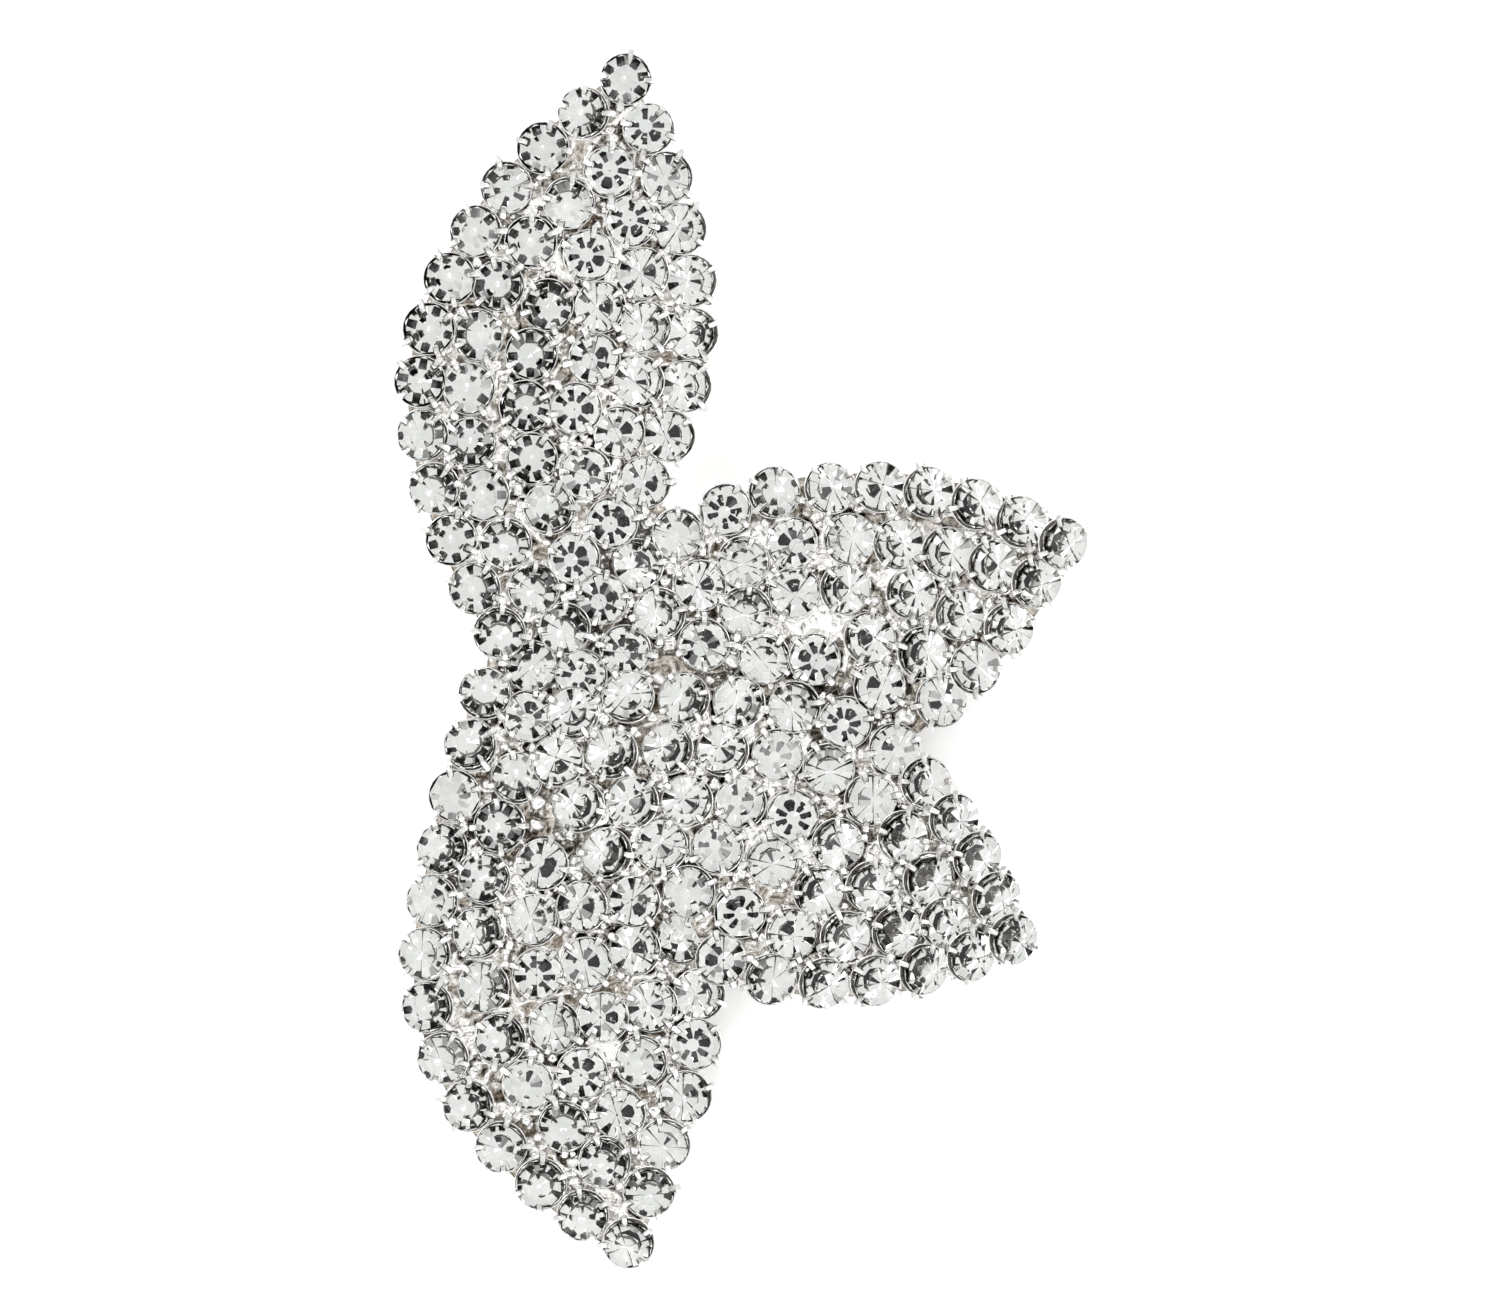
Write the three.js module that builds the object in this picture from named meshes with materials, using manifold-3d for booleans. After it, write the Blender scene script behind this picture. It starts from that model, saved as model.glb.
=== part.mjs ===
// A large half-flower stud earring: four cupped leaf-shaped petals, each one sheet of claw cups soldered
// side by side, and a post with a flat pad behind the upright petal.
// Millimetres, +Z up. The flower is built facing +Z and then laid as it rests, on its post and its back.
import * as THREE from 'three';
import Module from 'manifold-3d';
import { mergeVertices } from 'three/addons/utils/BufferGeometryUtils.js';

// Paved sheet
const SHEET = 2.6;            // from the claw tips to the back of the cups
const CUP_TAPER = 0.8;        // how far the outline of the back lies inside the outline of the front
const NARROWEST = 0.45;       // least share of a section's width that the back keeps
const GAP = 0.3;              // air between neighbouring solids
const STATIONS = 24;          // sections along a petal
const LANES = 8;              // strips across a petal
const BLOCK_DEPTH = 40;       // height of the blocks that trim one petal beside another
const MERGE_DISTANCE = 1e-4;

// Post
const PAD_RADIUS = 2.5;
const PAD_THICKNESS = 0.7;
const PAD_STANDOFF = 1.0;     // from the back of the sheet to the pad, at the pad's middle
const PIN_RADIUS = 0.45;
const PIN_LENGTH = 10.0;
const POST_SIDES = 24;
const POST_ALONG = 21.0;      // place of the post on the upright petal, from the petal's base
const POST_ACROSS = 0.25;     // and to the right of its middle line, as a share of the half width

// Lie on a level surface: turns about X and then about Y that bring the three resting points level
const REST_PITCH = 10.37;
const REST_ROLL = 20.3;

// Petals, seen from the front. A petal runs from its base to its tip in a straight line.
// lean: climb of the sheet towards its right edge, as a slope, looking from base to tip;
// along: distance from the base; left and right: half widths; rise: height of the middle line;
// curlLeft and curlRight: how far each edge bends up from the leaning sheet, or down where negative.
const COLUMNS = ['along', 'left', 'right', 'rise', 'curlLeft', 'curlRight'];
const PETALS = {
  petal_top: {
    base: [-8.1, 0.0],
    tip: [-2.7, 37.6],
    lean: -0.14,
    sections: [
      [-0.2, 3.3, 2.2, 2.3, 0.0, -0.1],
      [1.5, 4.5, 3.0, 2.1, 0.1, -0.1],
      [5.0, 6.8, 2.8, 1.8, 0.2, -0.2],
      [10.0, 9.6, 5.8, 1.5, 0.4, -0.7],
      [15.0, 10.9, 7.7, 1.3, 0.6, -1.2],
      [20.0, 11.1, 8.1, 1.2, 0.6, -1.3],
      [25.0, 10.2, 7.7, 1.2, 0.5, -1.2],
      [30.0, 7.4, 5.6, 1.4, 0.3, -0.7],
      [34.5, 4.0, 3.4, 1.7, 0.1, -0.2],
      [37.5, 2.0, 1.9, 2.0, 0.0, 0.0],
      [39.0, 0.9, 0.9, 2.2, 0.0, 0.0],
    ],
  },
  petal_upper_right: {
    base: [-7.0, -0.7],
    tip: [25.8, 7.4],
    lean: 0.0,
    sections: [
      [-2.8, 1.2, 0.9, 0.9, 0.0, 0.0],
      [-1.0, 2.3, 1.5, 1.0, 0.0, 0.0],
      [1.0, 3.4, 2.2, 1.1, -0.1, 0.0],
      [4.0, 5.5, 2.3, 1.0, -0.4, 0.0],
      [8.0, 7.0, 2.5, 0.4, -0.6, 0.0],
      [12.0, 8.8, 3.5, 0.0, -0.1, 0.1],
      [16.5, 9.4, 5.3, 0.1, 0.9, 0.2],
      [20.0, 8.9, 7.4, 0.8, 1.3, 0.3],
      [23.5, 7.9, 8.9, 2.0, 1.2, 0.2],
      [27.0, 6.3, 6.2, 3.8, 0.8, 0.1],
      [30.0, 4.4, 3.8, 5.6, 0.4, 0.1],
      [32.5, 2.4, 2.2, 7.2, 0.1, 0.1],
      [33.8, 0.9, 0.9, 8.1, 0.0, 0.0],
    ],
  },
  petal_lower_right: {
    base: [-10.1, -2.2],
    tip: [22.3, -17.5],
    lean: 0.0,
    sections: [
      [-0.3, 1.2, 0.8, 3.8, 0.0, 0.0],
      [1.4, 2.2, 2.0, 3.6, 0.0, 0.0],
      [4.0, 3.5, 4.1, 3.2, 0.0, 0.1],
      [8.0, 5.3, 6.7, 2.4, -0.1, 0.2],
      [12.0, 7.4, 9.1, 1.5, -0.2, 0.4],
      [16.0, 8.9, 10.4, 0.8, -0.2, 0.7],
      [20.0, 9.4, 10.8, 0.7, -0.2, 0.9],
      [24.0, 8.8, 10.1, 1.5, -0.1, 0.9],
      [28.0, 6.9, 8.0, 3.2, 0.1, 0.7],
      [31.0, 4.7, 5.8, 5.1, 0.2, 0.4],
      [33.5, 2.9, 3.8, 7.0, 0.1, 0.2],
      [35.4, 1.2, 1.4, 8.7, 0.0, 0.0],
    ],
  },
  petal_bottom: {
    base: [-11.1, -0.4],
    tip: [-2.6, -37.4],
    lean: 0.12,
    sections: [
      [-0.1, 0.9, 1.6, 2.2, 0.0, 0.0],
      [1.4, 1.2, 2.4, 2.1, 0.0, 0.0],
      [5.0, 1.8, 4.1, 1.8, 0.0, 0.0],
      [10.0, 2.6, 6.9, 1.4, 0.0, 0.1],
      [14.0, 4.4, 8.9, 1.1, -0.2, 0.3],
      [18.0, 8.0, 9.8, 0.9, -0.6, 0.5],
      [21.0, 9.6, 9.7, 0.9, -0.8, 0.6],
      [25.0, 9.0, 8.8, 1.2, -0.7, 0.5],
      [29.0, 7.2, 7.3, 1.9, -0.4, 0.4],
      [32.0, 5.2, 5.2, 2.7, -0.2, 0.2],
      [35.0, 3.3, 3.1, 3.7, 0.0, 0.1],
      [37.0, 1.8, 1.7, 4.5, 0.0, 0.0],
      [38.3, 0.8, 0.9, 5.0, 0.0, 0.0],
    ],
  },
};

// The petals that lie over each petal. A petal stops short of those over it.
const LAID_UNDER = {
  petal_top: ['petal_lower_right'],
  petal_upper_right: ['petal_lower_right', 'petal_top'],
  petal_lower_right: [],
  petal_bottom: ['petal_lower_right', 'petal_top'],
};

const silver = new THREE.MeshStandardMaterial({ color: 0xd6d7d8, roughness: 0.22, metalness: 1.0 });
const postSilver = new THREE.MeshStandardMaterial({ color: 0xc9cacb, roughness: 0.3, metalness: 1.0 });

const wasm = await Module();
wasm.setup();

// The front of a petal as a smooth surface. across runs from -1 at the left edge to 1 at the right edge.
function petalSurface({ base, tip, lean, sections }) {
  const origin = new THREE.Vector2(...base);
  const forward = new THREE.Vector2(...tip).sub(origin).normalize();
  const toRight = new THREE.Vector2(forward.y, -forward.x);
  const stations = sections.map((row) => row[0]);
  const values = sections.flatMap((row) => row.slice(1));
  const spline = new THREE.CubicInterpolant(stations, values, COLUMNS.length - 1);

  function section(along) {
    const row = spline.evaluate(THREE.MathUtils.clamp(along, stations[0], stations.at(-1)));
    return Object.fromEntries(COLUMNS.slice(1).map((name, index) => [name, row[index]]));
  }

  function plan(along, sideways) {
    return origin.clone().addScaledVector(forward, along).addScaledVector(toRight, sideways);
  }

  function front(along, across) {
    const { left, right, rise, curlLeft, curlRight } = section(along);
    const halfWidth = across < 0 ? left : right;
    const curl = across < 0 ? curlLeft : curlRight;
    const sideways = across * halfWidth;
    const spot = plan(along, sideways);
    return new THREE.Vector3(spot.x, spot.y, rise + lean * sideways + curl * across * across);
  }

  function normal(along, across) {
    const step = 0.05;
    const alongStep = front(along + step, across).sub(front(along - step, across));
    const acrossStep = front(along, across + step).sub(front(along, across - step));
    return acrossStep.cross(alongStep).normalize();
  }

  return { start: stations[0], end: stations.at(-1), section, plan, front, normal };
}

// A point on the back: the outline is drawn in by the taper of the cups, and the sheet's thickness is
// measured square to the front.
function backPoint(surface, along, across) {
  const middle = (surface.start + surface.end) / 2;
  const drawnIn = 1 - CUP_TAPER / (surface.end - middle);
  const stationAlong = middle + (along - middle) * drawnIn;
  const { left, right } = surface.section(stationAlong);
  const halfWidth = across < 0 ? left : right;
  const share = Math.max(NARROWEST, 1 - CUP_TAPER / halfWidth);
  const spot = surface.front(stationAlong, across * share);
  return spot.addScaledVector(surface.normal(stationAlong, across * share), -SHEET);
}

// The sheet is a grid of front points, a grid of back points and a wall between their edges.
function petalGeometry(surface) {
  const positions = [];
  const triangles = [];
  const rowSize = LANES + 1;
  const layerSize = (STATIONS + 1) * rowSize;
  for (const point of [surface.front, (along, across) => backPoint(surface, along, across)]) {
    for (let i = 0; i <= STATIONS; i += 1) {
      const along = THREE.MathUtils.lerp(surface.start, surface.end, i / STATIONS);
      for (let j = 0; j <= LANES; j += 1) {
        positions.push(...point(along, (2 * j) / LANES - 1).toArray());
      }
    }
  }
  function quad(a, b, c, d) {
    triangles.push(a, b, c, a, c, d);
  }
  function wall(a, b) {
    quad(b, a, a + layerSize, b + layerSize);
  }
  for (let i = 0; i < STATIONS; i += 1) {
    const left = i * rowSize;
    const right = left + LANES;
    for (let corner = left; corner < right; corner += 1) {
      quad(corner, corner + 1, corner + rowSize + 1, corner + rowSize);
      const behind = corner + layerSize;
      quad(behind, behind + rowSize, behind + rowSize + 1, behind + 1);
    }
    wall(left + rowSize, left);
    wall(right, right + rowSize);
  }
  const tipRow = STATIONS * rowSize;
  for (let j = 0; j < LANES; j += 1) {
    wall(j, j + 1);
    wall(tipRow + j + 1, tipRow + j);
  }
  const geometry = new THREE.BufferGeometry();
  geometry.setAttribute('position', new THREE.Float32BufferAttribute(positions, 3));
  geometry.setIndex(triangles);
  return geometry;
}

// An upright block with the outline of a petal, grown by the gap, which trims the petals tucked beside it.
function trimmingBlock(surface) {
  const outline = [];
  for (const [side, halfWidth] of [[-1, 'left'], [1, 'right']]) {
    const edge = [];
    for (let i = 0; i <= STATIONS; i += 1) {
      const along = THREE.MathUtils.lerp(surface.start - GAP, surface.end + GAP, i / STATIONS);
      edge.push(surface.plan(along, side * (surface.section(along)[halfWidth] + GAP)));
    }
    outline.push(...(side < 0 ? edge : edge.reverse()));
  }
  const extrusion = { depth: BLOCK_DEPTH, bevelEnabled: false };
  const block = new THREE.ExtrudeGeometry(new THREE.Shape(outline), extrusion);
  return block.translate(0, 0, -BLOCK_DEPTH / 2);
}

function toSolid(geometry) {
  const bare = new THREE.BufferGeometry();
  bare.setAttribute('position', geometry.getAttribute('position'));
  bare.setIndex(geometry.getIndex());
  const merged = mergeVertices(bare, MERGE_DISTANCE);
  const vertProperties = new Float32Array(merged.getAttribute('position').array);
  const triVerts = new Uint32Array(merged.getIndex().array);
  return new wasm.Manifold(new wasm.Mesh({ numProp: 3, vertProperties, triVerts }));
}

function toGeometry(solid) {
  const { vertProperties, triVerts } = solid.getMesh();
  const geometry = new THREE.BufferGeometry();
  geometry.setAttribute('position', new THREE.BufferAttribute(vertProperties, 3));
  geometry.setIndex(new THREE.BufferAttribute(triVerts, 1));
  return geometry;
}

// A petal less the blocks of the petals that lie over it. Only the main body of what is left is kept.
function trimmedPetal(surface, overlying) {
  let solid = toSolid(petalGeometry(surface));
  for (const other of overlying) {
    solid = solid.subtract(toSolid(trimmingBlock(other)));
  }
  const bodies = solid.decompose().sort((a, b) => b.volume() - a.volume());
  return toGeometry(bodies[0]);
}

// Pad and pin are turned in one profile. The pad's front lies at z = 0 and the pin points to -Z.
function postGeometry() {
  const profile = [
    [0, -PAD_THICKNESS - PIN_LENGTH],
    [PIN_RADIUS, -PAD_THICKNESS - PIN_LENGTH],
    [PIN_RADIUS, -PAD_THICKNESS],
    [PAD_RADIUS, -PAD_THICKNESS],
    [PAD_RADIUS, 0],
    [0, 0],
  ];
  const lathe = new THREE.LatheGeometry(profile.map(([x, y]) => new THREE.Vector2(x, y)), POST_SIDES);
  return lathe.rotateX(Math.PI / 2);
}

function namedMesh(name, geometry, material) {
  const mesh = new THREE.Mesh(geometry, material);
  mesh.name = name;
  return mesh;
}

const flower = new THREE.Group();
const surfaces = {};
for (const [name, petal] of Object.entries(PETALS)) {
  surfaces[name] = petalSurface(petal);
}
for (const [name, surface] of Object.entries(surfaces)) {
  const overlying = LAID_UNDER[name].map((other) => surfaces[other]);
  flower.add(namedMesh(name, trimmedPetal(surface, overlying), silver));
}

// The post stands square to the flower, so its pad is clear of the leaning sheet by more than the gap.
const post = namedMesh('ear_post', postGeometry(), postSilver);
post.position.copy(backPoint(surfaces.petal_top, POST_ALONG, POST_ACROSS));
post.position.z -= PAD_STANDOFF;
flower.add(post);

// Lay the flower as it rests, and set the middle of its footprint at the origin.
flower.rotation.set(
  THREE.MathUtils.degToRad(REST_PITCH),
  THREE.MathUtils.degToRad(REST_ROLL),
  0,
);
const earring = new THREE.Group();
earring.add(flower);
const bounds = new THREE.Box3().setFromObject(earring, true);
const footprint = bounds.getCenter(new THREE.Vector3()).setZ(bounds.min.z);
flower.position.sub(footprint);

export default earring;
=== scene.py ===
"""A half-flower stud earring: four petals paved with foiled stones in claw cups, lying on a pale table.

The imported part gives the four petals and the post. Each petal becomes a plate with solder on it, a claw cup
for each stone, and the stones. Places are worked out in the flower's own plan, in millimetres: x to the right
from its left edge, y up from its lowest tip, z towards the viewer. Meshes are made in the part's own frame.
"""
import math
from itertools import groupby

import bmesh
import bpy
import numpy as np
from mathutils import Matrix, Vector, noise
from numpy.polynomial import legendre


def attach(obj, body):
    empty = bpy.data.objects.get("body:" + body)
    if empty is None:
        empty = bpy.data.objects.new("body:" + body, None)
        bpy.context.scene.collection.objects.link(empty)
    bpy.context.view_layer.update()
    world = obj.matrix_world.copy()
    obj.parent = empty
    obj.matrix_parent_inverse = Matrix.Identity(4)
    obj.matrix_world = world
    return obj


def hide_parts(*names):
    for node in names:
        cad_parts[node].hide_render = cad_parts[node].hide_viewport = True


MM = 0.001
SEED = 7
SEEDS_A_PETAL = 10

# Stones and cups. A level is a height along the way that cups stand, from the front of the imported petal.
STONE_RADIUS = 1.55
GIRDLE_LEVEL = -0.68
STONE_PITCH = 3.12            # nearer than this, two neighbours are pushed apart
PUSH = 0.4                    # by this share of what they lack
SETTLING_ROUNDS = 60
CUP_RADIUS = 1.66
CUP_BASE_RADIUS = 1.1
CUP_WALL = 0.07
RIM_LEVEL = -0.10
CUP_BASE_LEVEL = -2.05
CLAWS = 4

# The smooth surface laid through a petal's front
FRONT_DEGREE = 5
FRONT_CUTOFF = 1e-9
FACING = 0.5                  # a face belongs to the front if its normal comes this near to the viewer's way
OUTSIDE = 1.05                # past its edge, in half widths, it is level

# A petal's plate
PLATE_FRONT_LEVEL = -2.08
PLATE_BACK_LEVEL = -2.5
PLATE_MARGIN = 0.6            # how far it reaches past the web between the cups
PLATE_ROUNDING = 0.35         # its edge is rounded over this width
PLATE_ROUNDING_DEPTH = 0.25
PLATE_BACK_WAVE = 0.04
PLATE_BACK_DEPTH = 0.6        # the back takes the solder's painted shade for this depth
PLATE_GRID = 0.2
SNAP_ROUNDS = 4
SNAP_STEP = 0.02
LEAST_STEEPNESS = 0.3

# The solder on it, between the cups
FILL_LEVEL = -0.85            # where it stands, on the whole
FILL_SPREAD = 0.9
FILL_START = 1.12             # it rises from this far off a cup's axis
FILL_RISE = 0.45              # and over this width
WIDE_WAVES = (0.7, 3.0)       # lumps to the millimetre, and the layer of noise
FINE_WAVES = (1.9, 9.0)
POOL_RADIUS = 1.1
POOL_LEVEL = -0.45
POOL_WAVE = 0.12

# Small lumps of solder, tried at random beside each pair of neighbours
BEAD_RADIUS = 0.3
BEAD_UNEVENNESS = 0.5
BEAD_LUMPS = 1.6
GRAINS_A_PAIR = 7
GRAIN_SPREAD = 1.3
GRAIN_LEVELS = (-0.85, -0.3)
GRAIN_ROOM = 0.05             # one that is kept stands this clear of the cups
GRAIN_REACH = 2.8             # and has three of them nearer than this
GRAIN_FULLNESS = 1.2          # its radius is this many times the room between it and the nearest cup
LEAST_GRAIN = 0.3
MOST_GRAIN = 1.2

# Where cups and petals are joined
NEIGHBOUR_REACH = 4.3         # cups nearer than this are soldered together
WEB_REACH = 5.2               # and nearer than this the plate joins them
JOINT_PAIR_REACH = 5.0
JOINT_GRAINS_A_PAIR = 12
JOINT_LEVELS = (-2.4, -0.6)
MOST_JOINT_GRAIN = 2.2
JOINT_WEB_REACH = 5.0
HUB_WEB_REACH = 6.0
HUB = ((12.0, 33.5), 10.0)    # middle and radius of the hub
JOINT_REACH = 3.3             # a plate spreads this far under a petal that lies over it
JOINT_MARGIN = 0.2            # and this far past the web between the two
JOINT_STEEPNESS = 3.0         # where its edge is this much steeper
DIP_ROOM = 0.15               # there it dips this far clear of the cups above it
DIP_SLOPE = 0.7               # over a slope of this width
TABLE_ROOM = 0.1              # and keeps this far above the table

# Rows of stones. Each row has its number of stones and the places, x and y, that it runs through.
ROWS = {
    "petal_top": {
        "left edge": (13, (14.0, 74.3), (1.5, 55.5), (6.3, 39.8)),
        "second from the left": (10, (10.5, 66.6), (4.7, 58.4), (10.4, 39.9)),
        "third from the left": (5, (9.2, 60.3), (7.8, 54.3), (9.3, 47.7)),
        "middle": (4, (11.7, 63.4), (12.4, 60.1), (11.2, 53.7)),
        "second from the right": (7, (13.0, 68.6), (15.2, 59.2), (11.4, 49.8)),
        "right edge": (10, (15.4, 71.3), (15.0, 49.1), (10.8, 44.5)),
    },
    "petal_upper_right": {
        "upper edge by the hub": (5, (12.2, 41.8), (17.0, 45.9), (23.3, 48.7)),
        "upper edge by the tip": (6, (26.8, 49.0), (33.4, 48.6), (41.2, 45.4)),
        "second by the hub": (5, (13.4, 38.6), (18.2, 42.6), (24.4, 45.5)),
        "second by the tip": (5, (28.0, 45.8), (34.2, 44.9), (39.6, 43.0)),
        "third by the hub": (4, (18.8, 39.2), (21.5, 41.2), (24.8, 42.5), (27.8, 42.7)),
        "third by the tip": (3, (31.9, 42.4), (34.8, 41.1), (37.9, 40.2)),
        "fourth by the hub": (2, (22.6, 38.3), (25.8, 38.3)),
        "fourth by the tip": (3, (29.3, 39.6), (35.8, 37.8)),
        "lower edge": (2, (29.7, 36.5), (33.7, 35.7)),
        "under the hub": (2, (8.5, 37.7), (11.3, 37.2)),
    },
    "petal_lower_right": {
        "upper edge by the hub": (6, (10.7, 36.0), (17.6, 35.9), (27.8, 34.4)),
        "upper edge by the tip": (6, (30.9, 32.6), (34.8, 27.9), (38.0, 21.1)),
        "second by the hub": (5, (9.6, 32.1), (16.1, 32.8), (23.5, 32.6)),
        "second by the tip": (5, (26.7, 31.5), (31.7, 26.8), (34.0, 21.9)),
        "third": (8, (11.0, 29.3), (14.4, 29.5), (24.6, 28.4), (31.0, 21.4)),
        "fourth": (6, (12.7, 26.3), (19.7, 26.6), (26.2, 24.0), (27.8, 21.0)),
        "fifth": (4, (14.5, 23.3), (18.4, 23.8), (21.6, 22.2), (24.3, 21.0)),
        "lower edge": (6, (20.0, 19.7), (26.7, 18.1), (32.6, 19.0), (35.6, 20.0)),
    },
    "petal_bottom": {
        "left edge": (13, (5.4, 36.2), (2.0, 23.6), (1.5, 20.4), (14.2, 2.1)),
        "second": (10, (7.5, 31.1), (5.1, 18.0), (15.5, 5.2)),
        "third": (7, (8.8, 25.6), (11.4, 12.4), (16.4, 8.1)),
        "fourth": (5, (10.9, 22.9), (12.4, 16.6), (17.7, 11.1)),
        "fifth": (3, (14.7, 20.3), (15.5, 16.6), (18.3, 14.4)),
        "right edge": (2, (17.2, 20.9), (18.4, 17.4)),
        "under the hub": (1, (8.3, 35.4), (7.5, 31.1)),
    },
}

# Cups lean only by this share of their petal's slope
SLOPE_SHARE = 0.5

# Some lean besides: petal, middle x and y, reach, degrees to the right and up
LEANS = [
    ("petal_top", (10.0, 69.0), 6.0, -3.0, 1.0),
    ("petal_top", (16.0, 57.0), 5.0, 6.0, 3.0),
    ("petal_top", (10.0, 56.0), 3.0, 3.0, 1.0),
    ("petal_top", (3.0, 57.0), 7.0, -6.0, 0.0),
    ("petal_top", (5.0, 43.0), 6.0, 1.0, 4.0),
    ("petal_upper_right", (14.0, 42.0), 5.0, 10.0, 4.0),
    ("petal_upper_right", (22.0, 43.0), 4.0, 4.0, 12.0),
    ("petal_upper_right", (28.5, 43.0), 4.0, -10.0, 1.0),
    ("petal_upper_right", (35.0, 42.0), 5.0, -4.0, 2.0),
    ("petal_upper_right", (41.0, 44.0), 4.0, -3.0, 8.0),
    ("petal_lower_right", (12.0, 34.0), 4.0, 5.0, -8.0),
    ("petal_lower_right", (12.0, 27.0), 5.0, 13.0, -7.0),
    ("petal_lower_right", (19.0, 33.0), 4.0, 7.0, -8.0),
    ("petal_lower_right", (25.0, 31.0), 4.0, -4.0, 8.0),
    ("petal_lower_right", (25.0, 23.0), 5.0, -6.0, 5.0),
    ("petal_lower_right", (31.0, 24.0), 5.0, -10.0, 8.0),
    ("petal_lower_right", (38.0, 25.0), 4.0, 0.0, 6.0),
    ("petal_bottom", (3.0, 19.0), 6.0, 4.0, 0.0),
    ("petal_bottom", (9.0, 22.0), 4.0, 5.0, 0.0),
    ("petal_bottom", (15.0, 17.0), 5.0, 5.0, 2.0),
    ("petal_bottom", (12.0, 7.0), 7.0, 1.0, 1.0),
]

# Every cup leans at random too, by up to this many degrees each way, and in all by at least what its lot has
LEAN_SPREAD = 4.0
LEAST_LEAN = {"shallow": 2.0, "deep": 6.0}

# Places, x and y, where solder fills a wide gap between cups
POOLS = {
    "petal_top": [(9.2, 63.2)],
    "petal_upper_right": [(30.8, 43.7), (22.3, 46.0), (22.6, 40.3), (24.8, 40.7), (27.0, 40.9)],
    "petal_lower_right": [(17.5, 28.3), (22.6, 27.2), (24.7, 26.3), (26.7, 25.4), (29.8, 26.2)],
    "petal_bottom": [(12.6, 14.3)],
}

# The cut of a stone, as shares of its radius: ring, corners, radius, height, turn by this share of a corner
STONE_CUT = {
    "table": (8, 0.56, 0.27, 0.5),
    "upper girdle": (16, 1.0, 0.018, 0.0),
    "lower girdle": (16, 1.0, -0.018, 0.0),
}

# Two lots of stones: the depth from girdle to culet, as a share of the radius
STONE_DEPTH = {"shallow": 0.785, "deep": 0.84}

# Rows of shallow stones
SHALLOW_ROWS = {
    "petal_top": ["left edge", "second from the left", "third from the left"],
    "petal_bottom": ["left edge", "second"],
}

# A claw from its foot to its tip: distance from the cup's axis, level, width, thickness
CLAW_SECTIONS = [
    (1.45, -1.35, 0.42, 0.18),
    (1.68, -0.80, 0.45, 0.22),
    (1.79, -0.36, 0.48, 0.24),
    (1.76, -0.10, 0.50, 0.26),
    (1.58, 0.02, 0.48, 0.24),
    (1.34, -0.13, 0.43, 0.20),
    (1.15, -0.33, 0.36, 0.14),
]

# Corners of a claw's section, as shares of its width and thickness; its outer side is a low ridge
CLAW_CORNERS = [(-0.5, 0.2), (-0.32, -0.34), (0.0, -0.5), (0.32, -0.34), (0.5, 0.2), (0.0, 0.5)]

# A cup's profile from the middle of its underside round to the middle of its floor: radius, level
CUP_PROFILE = [
    (CUP_BASE_RADIUS, CUP_BASE_LEVEL),
    (CUP_RADIUS - 0.03, RIM_LEVEL - 0.6),
    (CUP_RADIUS, RIM_LEVEL - 0.05),
    (CUP_RADIUS - 0.03, RIM_LEVEL),
    (CUP_RADIUS - CUP_WALL, RIM_LEVEL - 0.03),
    (CUP_RADIUS - CUP_WALL - 0.02, RIM_LEVEL - 0.6),
    (CUP_BASE_RADIUS - CUP_WALL, CUP_BASE_LEVEL + 0.06),
]
CUP_SIDES = 24

rng = np.random.default_rng(SEED)


# ---------------------------------------------------------------------------------------------- the frame


class Flower:
    """The flower's plan, found from the post, which stands square to it, and from the petals' edges."""

    def __init__(self, nodes):
        axis = self.pad_normal(nodes["ear_post"])
        pitch = math.atan2(-axis.y, axis.z)
        roll = math.asin(axis.x)
        self.turn = Matrix.Rotation(pitch, 3, "X") @ Matrix.Rotation(roll, 3, "Y")
        self.axes = np.array(self.turn)
        self.corner = np.zeros(3)
        petals = np.vstack([self.plan(points(nodes[name])) for name in ROWS])
        self.corner = np.append(petals.min(0)[:2], 0.0)
        self.size = petals.max(0)[:2] - petals.min(0)[:2]

    @staticmethod
    def pad_normal(post):
        """The pad's front is the widest flat of the post."""
        areas = {}
        for face in post.data.polygons:
            key = tuple(round(value, 2) for value in face.normal)
            area, total = areas.get(key, (0.0, Vector()))
            areas[key] = (area + face.area, total + face.normal * face.area)
        facing_up = [entry for key, entry in areas.items() if key[2] > 0]
        return max(facing_up, key=lambda entry: entry[0])[1].normalized()

    def plan(self, places):
        """The part's frame in metres to the flower's plan in millimetres."""
        return places @ self.axes / MM - self.corner

    def frame(self, places):
        """The flower's plan in millimetres to the part's frame in metres."""
        return (places + self.corner) @ self.axes.T * MM


def points(obj):
    flat = np.zeros(len(obj.data.vertices) * 3)
    obj.data.vertices.foreach_get("co", flat)
    return flat.reshape(-1, 3)


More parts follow.
